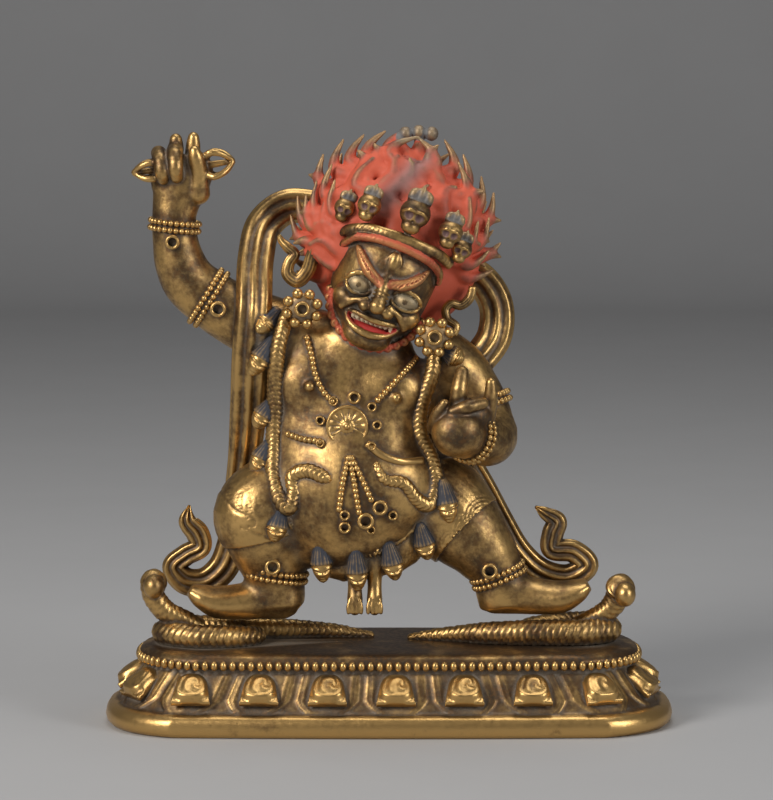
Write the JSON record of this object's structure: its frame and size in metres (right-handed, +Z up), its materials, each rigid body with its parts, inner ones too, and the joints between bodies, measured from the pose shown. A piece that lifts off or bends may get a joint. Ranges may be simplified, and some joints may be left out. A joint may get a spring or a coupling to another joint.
{
  "type": "gilt bronze wrathful protector deity statuette on a lotus plinth",
  "caption": "Cast gilt bronze wrathful protector striding over serpents on an oval lotus plinth, with flaming hair, skull diadem, scarf, garland and tiger skin.",
  "frame": {"origin": "centre of the plinth's underside", "axes": "+Z up, the figure faces -Y, and its raised right hand is towards -X"},
  "size_m": [0.1536, 0.0596, 0.1616],
  "materials": {
    "gilt_bronze": "fire-gilt bronze worn to brown on the relief and dusty in the hollows, with cold orange-red paint on hair and lips and dark paint on the severed heads' hair",
    "worn_bronze": "gilt bronze rubbed brown, with grey-brown dust on the deck and in the petals' recesses"
  },
  "bodies": {
    "root": {"figure": "gilt_bronze", "lotus_base": "worn_bronze"}
  },
  "joints": []
}
